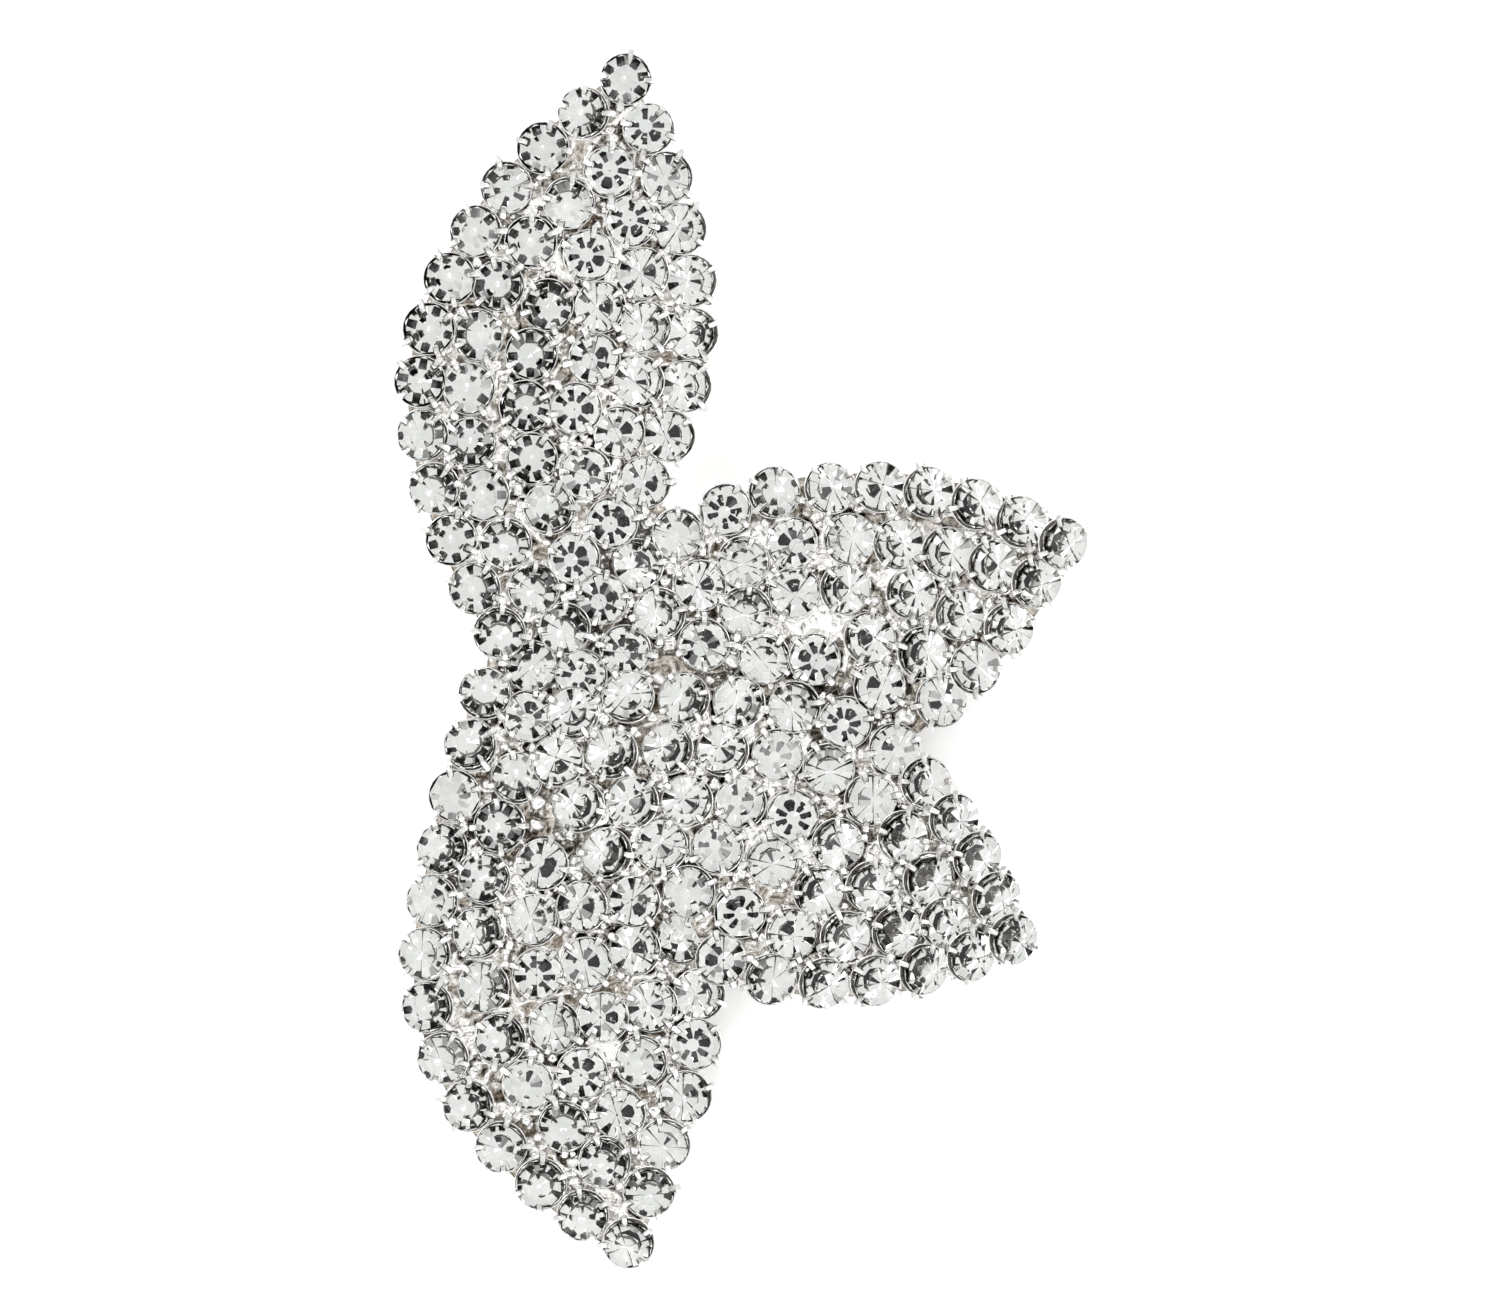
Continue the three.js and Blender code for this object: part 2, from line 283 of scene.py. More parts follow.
class Front:
    """A smooth surface through the front of a petal: height z over the plan."""

    def __init__(self, flower, node):
        places = flower.plan(points(node))
        viewer = Vector(flower.axes[:, 2])
        facing = [face for face in node.data.polygons if face.normal.dot(viewer) > FACING]
        corners = {v for face in facing for v in face.vertices}
        front = places[sorted(corners)]
        self.low = front[:, :2].min(0)
        self.high = front[:, :2].max(0)
        self.terms = np.linalg.lstsq(self.basis(front[:, :2]), front[:, 2], rcond=FRONT_CUTOFF)[0]

    def basis(self, plan):
        scaled = np.clip(2 * (plan - self.low) / (self.high - self.low) - 1, -OUTSIDE, OUTSIDE)
        across = legendre.legvander(scaled[:, 0], FRONT_DEGREE)
        along = legendre.legvander(scaled[:, 1], FRONT_DEGREE)
        pairs = [(i, j) for i in range(FRONT_DEGREE + 1) for j in range(FRONT_DEGREE + 1 - i)]
        return np.stack([across[:, i] * along[:, j] for i, j in pairs], axis=1)

    def height(self, plan):
        return self.basis(plan) @ self.terms

    def normal(self, plan, step=0.05):
        """The way that cups stand here, which is more upright than the surface's own normal."""
        across = (self.height(plan + [step, 0]) - self.height(plan - [step, 0])) / (2 * step)
        along = (self.height(plan + [0, step]) - self.height(plan - [0, step])) / (2 * step)
        normals = np.stack([-across * SLOPE_SHARE, -along * SLOPE_SHARE, np.ones_like(across)], axis=1)
        return normals / np.linalg.norm(normals, axis=1)[:, None]

    def lifted(self, plan, level):
        """Points at a level along the way that cups stand."""
        surface = np.column_stack([plan, self.height(plan)])
        level = np.broadcast_to(np.asarray(level, float), len(plan))
        return surface + self.normal(plan) * level[:, None]


# ---------------------------------------------------------------------------------------------- the seats


def smooth_line(through, samples=160):
    """A curve through a few places, as a fine run of points."""
    through = np.array(through, float)
    steps = np.append(0.0, np.cumsum(np.linalg.norm(np.diff(through, axis=0), axis=1)))
    at = np.linspace(0, steps[-1], samples)
    if len(through) == 2:
        return through[0] + (through[1] - through[0]) * (at / steps[-1])[:, None]
    slope = np.gradient(through, steps, axis=0, edge_order=2)
    span = np.clip(np.searchsorted(steps, at, side="right") - 1, 0, len(steps) - 2)
    length = (steps[span + 1] - steps[span])[:, None]
    t = (at - steps[span])[:, None] / length
    start = through[span] * (2 * t**3 - 3 * t**2 + 1) + slope[span] * length * (t**3 - 2 * t**2 + t)
    end = through[span + 1] * (3 * t**2 - 2 * t**3) + slope[span + 1] * length * (t**3 - t**2)
    return start + end


def row_places(front, count, through):
    """Stones at an even pitch along a row, measured over the curved petal."""
    line = smooth_line(through)
    lifted = np.column_stack([line, front.height(line)])
    run = np.append(0.0, np.cumsum(np.linalg.norm(np.diff(lifted, axis=0), axis=1)))
    at = np.linspace(0, run[-1], count)
    return np.column_stack([np.interp(at, run, line[:, k]) for k in range(2)])


class Seats:
    """Every stone's seat: its plan place, its petal, its foot on the petal's front and its normal."""

    def __init__(self, fronts):
        self.fronts = fronts
        self.petal = []
        self.lot = []
        places = []
        for petal, rows in ROWS.items():
            for row, (count, *through) in rows.items():
                places.append(row_places(fronts[petal], count, through))
                self.petal += [petal] * count
                self.lot += ["shallow" if row in SHALLOW_ROWS.get(petal, []) else "deep"] * count
        self.petal = np.array(self.petal)
        self.lot = np.array(self.lot)
        self.place = np.vstack(places)
        self.settle()
        for _ in range(SETTLING_ROUNDS):
            self.spread()
            self.settle()
        self.lean()
        self.turn = self.claw_turns()

    def settle(self):
        """The middle of each girdle comes over the seat's place."""
        self.foot = np.zeros((len(self.place), 3))
        self.normal = np.zeros((len(self.place), 3))
        for petal, front in self.fronts.items():
            mine = self.petal == petal
            plan = self.place[mine]
            shifted = plan - GIRDLE_LEVEL * front.normal(plan)[:, :2]
            self.foot[mine] = np.column_stack([shifted, front.height(shifted)])
            self.normal[mine] = front.normal(shifted)
        self.girdle = self.foot + GIRDLE_LEVEL * self.normal

    def spread(self):
        """Neighbours that are too near each other move apart."""
        apart = self.girdle[:, None] - self.girdle[None]
        distance = np.linalg.norm(apart, axis=2)
        np.fill_diagonal(distance, np.inf)
        lack = np.clip(STONE_PITCH - distance, 0, None)
        push = (apart[:, :, :2] / distance[:, :, None] * lack[:, :, None]).sum(1)
        self.place = self.place + PUSH * push

    def lean(self):
        """Every cup leans a little at random, more in the leaning places, and no less than its lot does."""
        degrees = rng.uniform(-LEAN_SPREAD, LEAN_SPREAD, (len(self.place), 2))
        for petal, middle, reach, right, up in LEANS:
            away = np.linalg.norm(self.place - middle, axis=1) / reach
            degrees += (np.exp(-(away**2)) * (self.petal == petal))[:, None] * [right, up]
        self.normal[:, :2] += np.radians(degrees)
        aside = np.linalg.norm(self.normal[:, :2], axis=1)
        least = np.radians([LEAST_LEAN[lot] for lot in self.lot])
        self.normal[:, :2] *= (np.maximum(aside, least) / aside)[:, None]
        self.normal /= np.linalg.norm(self.normal, axis=1)[:, None]
        self.foot = self.girdle - GIRDLE_LEVEL * self.normal

    def lies_over(self, petal, other):
        """Whether a petal lies higher than another one where they are nearest."""
        if petal == other:
            return False
        ours = self.place[self.petal == petal]
        theirs = self.place[self.petal == other]
        apart = np.linalg.norm(ours[:, None] - theirs[None], axis=2)
        nearest = np.unravel_index(apart.argmin(), apart.shape)
        between = (ours[nearest[0]] + theirs[nearest[1]])[None] / 2
        return self.fronts[petal].height(between)[0] > self.fronts[other].height(between)[0]

    def pairs(self, reach=NEIGHBOUR_REACH):
        distance = np.linalg.norm(self.girdle[:, None] - self.girdle[None], axis=2)
        return [(a, b) for a, b in zip(*np.nonzero(distance < reach)) if a < b]

    def claw_turns(self):
        """Claws stand between the neighbours, as near as their number allows."""
        phase = np.zeros(len(self.place), complex)
        for a, b in self.pairs():
            step = self.place[b] - self.place[a]
            weight = np.exp(1j * CLAWS * math.atan2(step[1], step[0])) / np.hypot(*step) ** 2
            phase[a] += weight
            phase[b] += weight * np.exp(1j * CLAWS * math.pi)
        return np.angle(phase) / CLAWS + math.pi / CLAWS


# ---------------------------------------------------------------------------------------------- meshes


def mesh_object(name, vertices, faces, smooth=True, sharp=None):
    """sharp is the angle, in degrees, past which an edge stays sharp on a smooth shape."""
    mesh = bpy.data.meshes.new(name)
    mesh.from_pydata([tuple(v) for v in vertices], [], [tuple(int(i) for i in f) for f in faces])
    mesh.update()
    if smooth:
        mesh.shade_smooth()
    else:
        mesh.shade_flat()
    if sharp is not None:
        mesh.set_sharp_from_angle(angle=math.radians(sharp))
    obj = bpy.data.objects.new(name, mesh)
    bpy.context.scene.collection.objects.link(obj)
    return obj


def mark_faces(obj, chosen):
    """Marks the faces that take the second material."""
    marks = obj.data.attributes.new("second", "BOOLEAN", "FACE")
    marks.data.foreach_set("value", [index in chosen for index in range(len(obj.data.polygons))])


def ring(corners, radius, level, turn=0.0):
    angles = 2 * math.pi * (np.arange(corners) + turn) / corners
    return np.column_stack([radius * np.cos(angles), radius * np.sin(angles), np.full(corners, level)])


def stone_shape(depth):
    """A foiled stone: an eight-sided table and crown, a round girdle, and a pavilion turned half a facet."""
    rings = {}
    vertices = []
    cut = STONE_CUT | {"culet": (1, 0.0, -depth, 0.0)}
    for name, (corners, radius, height, turn) in cut.items():
        rings[name] = [len(vertices) + i for i in range(corners)]
        level = height * STONE_RADIUS + GIRDLE_LEVEL
        vertices += list(ring(corners, radius * STONE_RADIUS, level, turn))
    table, upper, lower, culet = rings.values()
    sides = len(upper)
    faces = [table]
    for i in range(len(table)):
        at = 2 * i
        faces.append([table[i - 1], upper[at - 1], upper[at], upper[at + 1], table[i]])
    for i in range(sides):
        after = (i + 1) % sides
        faces.append([upper[i], lower[i], lower[after], upper[after]])
    foil_from = len(faces)
    for i in range(0, sides, 2):
        faces.append([lower[i], culet[0], lower[(i + 2) % sides], lower[i + 1]])
    obj = mesh_object("stone_shape", np.array(vertices) * MM, faces, smooth=False)
    mark_faces(obj, set(range(foil_from, len(faces))))
    return obj


def cup_shape():
    """A round cup with a thin rim. Its inside takes the second material, a dark finish painted as shade."""
    vertices = np.vstack([ring(CUP_SIDES, radius, level) for radius, level in CUP_PROFILE])
    bands = len(CUP_PROFILE)
    faces = [list(range(CUP_SIDES))[::-1]]
    for band in range(bands - 1):
        for i in range(CUP_SIDES):
            after = (i + 1) % CUP_SIDES
            low = band * CUP_SIDES
            high = low + CUP_SIDES
            faces.append([low + i, low + after, high + after, high + i])
    faces.append([(bands - 1) * CUP_SIDES + i for i in range(CUP_SIDES)])
    inside = set(range(len(faces) - 1 - 2 * CUP_SIDES, len(faces)))
    obj = mesh_object("cup_shape", vertices * MM, faces, sharp=50)
    mark_faces(obj, inside)
    return obj


def claw_shape():
    """A claw standing at +X of the cup's axis and bent over towards it, of six-sided section."""
    path = np.array([(radius, level) for radius, level, _, _ in CLAW_SECTIONS])
    along = np.gradient(path, axis=0)
    along /= np.linalg.norm(along, axis=1)[:, None]
    vertices = []
    for (x, z), (dx, dz), (_, _, width, thickness) in zip(path, along, CLAW_SECTIONS):
        for side, depth in CLAW_CORNERS:
            vertices.append((x - dz * depth * thickness, side * width, z + dx * depth * thickness))
    size = len(CLAW_CORNERS)
    faces = [list(range(size)), [len(vertices) - 1 - i for i in range(size)]]
    for section in range(len(path) - 1):
        for i in range(size):
            a = section * size + i
            b = section * size + (i + 1) % size
            faces.append([a, a + size, b + size, b])
    obj = mesh_object("claw_shape", np.array(vertices) * MM, faces, sharp=38)
    mark_faces(obj, set())
    return obj


def bead_shape():
    """A small lump of solder."""
    lump = bmesh.new()
    bmesh.ops.create_icosphere(lump, subdivisions=2, radius=BEAD_RADIUS * MM)
    for vertex in lump.verts:
        vertex.co *= 1 + BEAD_UNEVENNESS * noise.noise(vertex.co.normalized() * BEAD_LUMPS)
    mesh = bpy.data.meshes.new("bead_shape")
    lump.to_mesh(mesh)
    lump.free()
    mesh.shade_smooth()
    obj = bpy.data.objects.new("bead_shape", mesh)
    bpy.context.scene.collection.objects.link(obj)
    mark_faces(obj, set())
    return obj


# ---------------------------------------------------------------------------------------------- node trees


# Mix and Random Value nodes have sockets for every kind of data. These are for colours and for numbers.
COLOUR_MIX_INPUTS = (0, 6, 7)
COLOUR_MIX_RESULT = 2
RANDOM_NUMBER_LIMITS = (2, 3)
RANDOM_NUMBER = 1


class Field:
    """A socket that ordinary arithmetic works on."""

    def __init__(self, graph, socket):
        self.graph = graph
        self.socket = socket

    def __add__(self, other):
        return self.graph.math("ADD", self, other)

    __radd__ = __add__

    def __mul__(self, other):
        return self.graph.math("MULTIPLY", self, other)

    __rmul__ = __mul__

    def __sub__(self, other):
        return self.graph.math("SUBTRACT", self, other)

    def __rsub__(self, other):
        return self.graph.math("SUBTRACT", other, self)

    def __truediv__(self, other):
        return self.graph.math("DIVIDE", self, other)

    def __rtruediv__(self, other):
        return self.graph.math("DIVIDE", other, self)

    def between(self, low, high):
        """0 below low, 1 above high, and a smooth step between."""
        inputs = {"Value": self, "From Min": low, "From Max": high}
        return self.graph.node("ShaderNodeMapRange", {"interpolation_type": "SMOOTHSTEP"}, inputs)


class Graph:
    """A node tree in the making."""

    def __init__(self, tree):
        self.tree = tree
        tree.nodes.clear()

    def node(self, kind, settings=None, inputs=None, output=0, stops=None):
        made = self.tree.nodes.new(kind)
        for name, value in (settings or {}).items():
            setattr(made, name, value)
        if stops:
            set_stops(made.color_ramp, stops)
        for key, value in (inputs or {}).items():
            if isinstance(value, Field):
                self.tree.links.new(value.socket, made.inputs[key])
            else:
                made.inputs[key].default_value = value
        return Field(self, made.outputs[output]) if made.outputs else made

    def math(self, operation, *values):
        return self.node("ShaderNodeMath", {"operation": operation}, dict(enumerate(values)))

    def ramp(self, factor, stops):
        return self.node("ShaderNodeValToRGB", inputs={"Fac": factor}, stops=stops)

    def mix(self, factor, first, second):
        """Two colours mixed."""
        inputs = dict(zip(COLOUR_MIX_INPUTS, (factor, first, second)))
        return self.node("ShaderNodeMix", {"data_type": "RGBA"}, inputs, output=COLOUR_MIX_RESULT)


def set_stops(ramp, stops):
    while len(ramp.elements) > 1:
        ramp.elements.remove(ramp.elements[-1])
    for index, (position, colour) in enumerate(stops):
        element = ramp.elements[0] if index == 0 else ramp.elements.new(position)
        element.position = position
        element.color = colour


def grey(value):
    return (value, value, value, 1.0)


def seating_tree():
    """Sets copies of a shape on points, each lying as its point says, with a little spread."""
    tree = bpy.data.node_groups.new("Set shapes on seats", "GeometryNodeTree")
    sockets = [
        ("Geometry", "NodeSocketGeometry"),
        ("Shape", "NodeSocketObject"),
        ("Tilt spread", "NodeSocketFloat"),
        ("Turn spread", "NodeSocketFloat"),
        ("Size spread", "NodeSocketFloat"),
        ("Height spread", "NodeSocketFloat"),
        ("Seed", "NodeSocketInt"),
        ("Material", "NodeSocketMaterial"),
        ("Second material", "NodeSocketMaterial"),
    ]
    for name, kind in sockets:
        tree.interface.new_socket(name, in_out="INPUT", socket_type=kind)
    tree.interface.new_socket("Geometry", in_out="OUTPUT", socket_type="NodeSocketGeometry")
    graph = Graph(tree)
    inputs = {name: graph.node("NodeGroupInput", output=name) for name, _ in sockets}

    shape = graph.node("GeometryNodeObjectInfo", inputs={"Object": inputs["Shape"]}, output="Geometry")
    spread = graph.node("ShaderNodeCombineXYZ", inputs={
        "X": inputs["Tilt spread"], "Y": inputs["Tilt spread"], "Z": inputs["Turn spread"]})
    least = graph.node("ShaderNodeVectorMath", {"operation": "SCALE"}, {0: spread, "Scale": -1.0})
    angles = graph.node("FunctionNodeRandomValue", {"data_type": "FLOAT_VECTOR"}, {
        "Min": least, "Max": spread, "Seed": inputs["Seed"]})
    lean = graph.node("FunctionNodeEulerToRotation", inputs={0: angles})
    lie = graph.node("GeometryNodeInputNamedAttribute", {"data_type": "QUATERNION"}, {"Name": "lie"})
    rotation = graph.node("FunctionNodeRotateRotation", {"rotation_space": "LOCAL"}, {0: lie, 1: lean})
    size = graph.node("GeometryNodeInputNamedAttribute", {"data_type": "FLOAT"}, {"Name": "size"})

    def factor(spread, seed):
        """A random factor about 1."""
        low, high = RANDOM_NUMBER_LIMITS
        limits = {low: 1 - inputs[spread], high: 1 + inputs[spread], "Seed": inputs["Seed"] + seed}
        return graph.node("FunctionNodeRandomValue", {"data_type": "FLOAT"}, limits, output=RANDOM_NUMBER)

    across = size * factor("Size spread", 1)
    scale = graph.node("ShaderNodeCombineXYZ", inputs={
        "X": across, "Y": across, "Z": across * factor("Height spread", 2)})
    copies = graph.node("GeometryNodeInstanceOnPoints", inputs={
        "Points": inputs["Geometry"], "Instance": shape, "Rotation": rotation, "Scale": scale})
    real = graph.node("GeometryNodeRealizeInstances", inputs={"Geometry": copies})
    first = graph.node("GeometryNodeSetMaterial", inputs={
        "Geometry": real, "Material": inputs["Material"]})
    second = graph.node("GeometryNodeInputNamedAttribute", {"data_type": "BOOLEAN"}, {"Name": "second"})
    both = graph.node("GeometryNodeSetMaterial", inputs={
        "Geometry": first, "Selection": second, "Material": inputs["Second material"]})
    graph.node("NodeGroupOutput", inputs={"Geometry": both})
    return tree


def set_on_seats(name, tree, shape, places, lies, sizes, material, second=None, seed=0,
                 tilt=0.0, turn=0.0, size=0.0, height=0.0):
    """One piece made of many copies of a shape. tilt and turn are in degrees."""
    mesh = bpy.data.meshes.new(name)
    mesh.from_pydata([tuple(p) for p in places], [], [])
    mesh.attributes.new("lie", "QUATERNION", "POINT").data.foreach_set("value", np.ravel(lies))
    mesh.attributes.new("size", "FLOAT", "POINT").data.foreach_set("value", np.ravel(sizes))
    obj = bpy.data.objects.new(name, mesh)
    bpy.context.scene.collection.objects.link(obj)
    modifier = obj.modifiers.new("Seats", "NODES")
    modifier.node_group = tree
    values = {
        "Shape": shape,
        "Tilt spread": math.radians(tilt),
        "Turn spread": math.radians(turn),
        "Size spread": size,
        "Height spread": height,
        "Seed": seed,
        "Material": material,
        "Second material": second or material,
    }
    for socket in tree.interface.items_tree:
        if socket.in_out == "INPUT" and socket.name in values:
            modifier[socket.identifier] = values[socket.name]
    made = bpy.data.meshes.new_from_object(obj.evaluated_get(bpy.context.evaluated_depsgraph_get()))
    obj.modifiers.remove(modifier)
    obj.data = made
    bpy.data.meshes.remove(mesh)
    made.name = name
    return obj


# ---------------------------------------------------------------------------------------------- finishes


def new_material(name):
    material = bpy.data.materials.new(name)
    material.use_nodes = True
    return material, Graph(material.node_tree)


def finish_with(graph, settings):
    """A Principled shader with these sockets, on the material's output."""
    shader = graph.node("ShaderNodeBsdfPrincipled", inputs=settings)
    graph.node("ShaderNodeOutputMaterial", inputs={"Surface": shader})


def millimetres(graph):
    coordinates = graph.node("ShaderNodeTexCoord", output="Object")
    return graph.node("ShaderNodeVectorMath", {"operation": "SCALE"}, {0: coordinates, "Scale": 1 / MM})


def lumps(graph, place, per_mm, detail=2.0, roughness=0.5):
    inputs = {"Vector": place, "Scale": per_mm, "Detail": detail, "Roughness": roughness}
    return graph.node("ShaderNodeTexNoise", inputs=inputs)


# Plated metals, and the cups' insides, whose dark colours are painted shade: name, clean colour, tarnished
# colour, least and most roughness, the lumps of noise between which tarnish sets in, and the relief of the
# skin in millimetres
SILVERS = {
    "silver": ("silver", (0.94, 0.935, 0.92, 1), (0.60, 0.55, 0.50, 1), (0.18, 0.32), (0.55, 0.8), 0.02),
    "claw": ("claw_silver", (0.92, 0.915, 0.905, 1), (0.58, 0.54, 0.50, 1), (0.12, 0.26), (0.5, 0.75), 0.015),
    # The cups' insides: not a metal's own colour but painted shade, dark where the stone shades the cup
    "shaded_well": ("cup_inside_painted_shade", (0.27, 0.25, 0.23, 1), (0.08, 0.07, 0.06, 1), (0.25, 0.5), (0.3, 0.6), 0.02),
    "post": ("post_silver", (0.80, 0.80, 0.79, 1), (0.60, 0.56, 0.52, 1), (0.18, 0.34), (0.5, 0.8), 0.006),
}


def silver_material(name, clean, tarnished, rough, tarnish, relief):
    """Plated metal: its colour, its tarnish, its roughness and the crumple of its skin change over it. For
    the cups' insides the two colours are painted shade.
    """
    material, graph = new_material(name)
    place = millimetres(graph)
    wide = lumps(graph, place, per_mm=0.9)
    fine = lumps(graph, place, per_mm=5.5, detail=3.0, roughness=0.6)
    stain = (wide * 0.6 + fine * 0.4).between(*tarnish)
    colour = graph.mix(stain, clean, tarnished)
    bump = graph.node("ShaderNodeBump", inputs={"Strength": 1.0, "Distance": relief * MM, "Height": fine})
    finish_with(graph, {
        "Base Color": colour,
        "Metallic": 1.0,
        "Roughness": fine.between(0.3, 0.75) * (rough[1] - rough[0]) + rough[0],
        "Normal": bump,
    })
    return material


def plate_material():
    """Solder and plate: bright where it is high and darker down in the gaps as painted shade, with brown flux
    and tarnish stains there too.
    """
    material, graph = new_material("solder")
    place = millimetres(graph)
    wide = lumps(graph, place, per_mm=0.8)
    fine = lumps(graph, place, per_mm=2.6)
    depth = graph.node("ShaderNodeAttribute", {"attribute_name": "depth"}, output="Fac")
    # Painted shade: the solder turns from bright to grey-brown the deeper it lies between the cups
    shade = graph.mix(depth.between(0.5, 1.5), (0.97, 0.96, 0.94, 1), (0.60, 0.56, 0.51, 1))
    stain = (depth.between(0.7, 1.4) * (wide * 0.8 + fine * 0.6)).between(0.66, 0.92)
    colour = graph.mix(stain, shade, (0.40, 0.32, 0.25, 1))
    bump = graph.node("ShaderNodeBump", inputs={"Strength": 1.0, "Distance": 0.03 * MM, "Height": fine})
    finish_with(graph, {
        "Base Color": colour,
        "Metallic": 1.0,
        "Roughness": stain * 0.2 + 0.2,
        "Normal": bump,
    })
    return material


def crystal_material():
    material, graph = new_material("crystal")
    finish_with(graph, {
        "Base Color": (0.98, 0.985, 0.98, 1),
        "Roughness": 0.0,
        "IOR": 1.54,
        "Transmission Weight": 1.0,
    })
    return material


def foil_material():
    """The mirror foil on the back of a stone, a little worn and uneven."""
    material, graph = new_material("foil")
    wear = lumps(graph, millimetres(graph), per_mm=0.7, detail=1.0)
    finish_with(graph, {
        "Base Color": graph.ramp(wear, [(0.3, (0.88, 0.89, 0.88, 1)), (0.7, (0.97, 0.97, 0.96, 1))]),
        "Metallic": 1.0,
        "Roughness": 0.03,
    })
    return material


def table_material():
    material, graph = new_material("pale_table")
    cloud = lumps(graph, millimetres(graph), per_mm=0.02)
    finish_with(graph, {
        "Base Color": graph.ramp(cloud, [(0.3, grey(0.90)), (0.7, grey(0.93))]),
        "Roughness": 0.6,
        "Emission Color": grey(1.0),
        "Emission Strength": 0.3,
    })
    return material


# ---------------------------------------------------------------------------------------------- pieces


def lie_of(flower, normal, turn):
    """The rotation of a shape that stands on a seat and is turned about the seat's normal."""
    normal = Vector(normal).normalized()
    right = Vector((1, 0, 0))
    right = (right - normal * right.dot(normal)).normalized()
    up = normal.cross(right)
    along = right * math.cos(turn) + up * math.sin(turn)
    local = Matrix([along, normal.cross(along), normal]).transposed()
    return (flower.turn @ local).to_quaternion()


def web_between(middles, reach=WEB_REACH):
    """Pairs and threes of cups that the plate joins."""
    apart = np.linalg.norm(middles[:, None] - middles[None], axis=2)
    reach = np.broadcast_to(reach, len(middles))
    pairs = {(a, b) for a, b in zip(*np.nonzero(apart < np.minimum.outer(reach, reach))) if a < b}
    near = {a: {b for _, b in group} for a, group in groupby(sorted(pairs), key=lambda pair: pair[0])}
    threes = [(a, b, c) for a, b in pairs for c in near.get(b, set()) & near[a]]
    return middles, sorted(pairs), threes


def beyond(web, plan):
    """Distance from a web of lines and triangles between cups; 0 inside it."""
    middles, pairs, threes = web
    nearest = np.full(len(plan), np.inf)
    for a, b in pairs:
        line = middles[b] - middles[a]
        share = np.clip((plan - middles[a]) @ line / (line @ line), 0, 1)
        nearest = np.minimum(nearest, np.linalg.norm(plan - middles[a] - share[:, None] * line, axis=1))
    for corners in threes:
        a, b, c = middles[list(corners)]
        sides = [np.cross(q - p, plan - p) for p, q in ((a, b), (b, c), (c, a))]
        inside = (np.min(sides, axis=0) >= 0) | (np.max(sides, axis=0) <= 0)
        nearest[inside] = 0.0
    return nearest


def snap_border(plan, border, inset):
    """Moves border points onto the plate's true edge, where inset is 0, so that it isn't stepped."""
    rim = np.unique(border)
    most = PLATE_GRID / 2
    for _ in range(SNAP_ROUNDS):
        value = inset(plan[rim])
        aside = [inset(plan[rim] + step) for step in ([SNAP_STEP, 0], [0, SNAP_STEP])]
        slope = (np.stack(aside, axis=1) - value[:, None]) / SNAP_STEP
        steepness = np.clip((slope**2).sum(1), LEAST_STEEPNESS, None)
        move = -(value / steepness)[:, None] * slope
        plan[rim] += np.clip(move, -most, most)


def from_axes(places, foot, normal):
    """How far up these cups' axes the places are, and how far off them, with a column for each cup."""
    offset = places[:, None] - foot[None]
    along = np.einsum("gsk,sk->gs", offset, normal)
    return along, np.sqrt(np.clip((offset**2).sum(2) - along**2, 0, None))


def under_cups(places, foot, normal):
    """How far the places have to go down to pass under these cups."""
    along, aside = from_axes(places, foot, normal)
    share = np.clip((CUP_RADIUS + DIP_ROOM + DIP_SLOPE - aside) / DIP_SLOPE, 0, 1)
    share = share**2 * (3 - 2 * share)
    return (share * np.clip(along - CUP_BASE_LEVEL + DIP_ROOM, 0, None)).max(1)


def noise_over(plan, waves):
    per_mm, layer = waves
    return np.array([noise.noise(Vector((x * per_mm, y * per_mm, layer))) for x, y in plan])


def cut_grid(low, high, inset):
    """A fine grid, cut where inset falls to 0: its points, its squares and the edges of its border."""
    steps = np.ceil((high - low) / PLATE_GRID).astype(int)
    across, up = np.meshgrid(np.arange(steps[0] + 1), np.arange(steps[1] + 1), indexing="ij")
    plan = low + PLATE_GRID * np.column_stack([across.ravel(), up.ravel()])
    kept = (inset(plan) > 0).reshape(steps + 1)
    cells = kept[:-1, :-1] & kept[1:, :-1] & kept[1:, 1:] & kept[:-1, 1:]
    index = np.arange(kept.size).reshape(kept.shape)
    quads = np.stack([index[:-1, :-1], index[1:, :-1], index[1:, 1:], index[:-1, 1:]], axis=-1)[cells]
    used, quads = np.unique(quads, return_inverse=True)
    quads = quads.reshape(-1, 4)
    edges = np.vstack([quads[:, [k, (k + 1) % 4]] for k in range(4)])
    _, first, counts = np.unique(np.sort(edges, axis=1), axis=0, return_index=True, return_counts=True)
    border = edges[first[counts == 1]]
    plan = plan[used]
    snap_border(plan, border, inset)
    return plan, quads, border


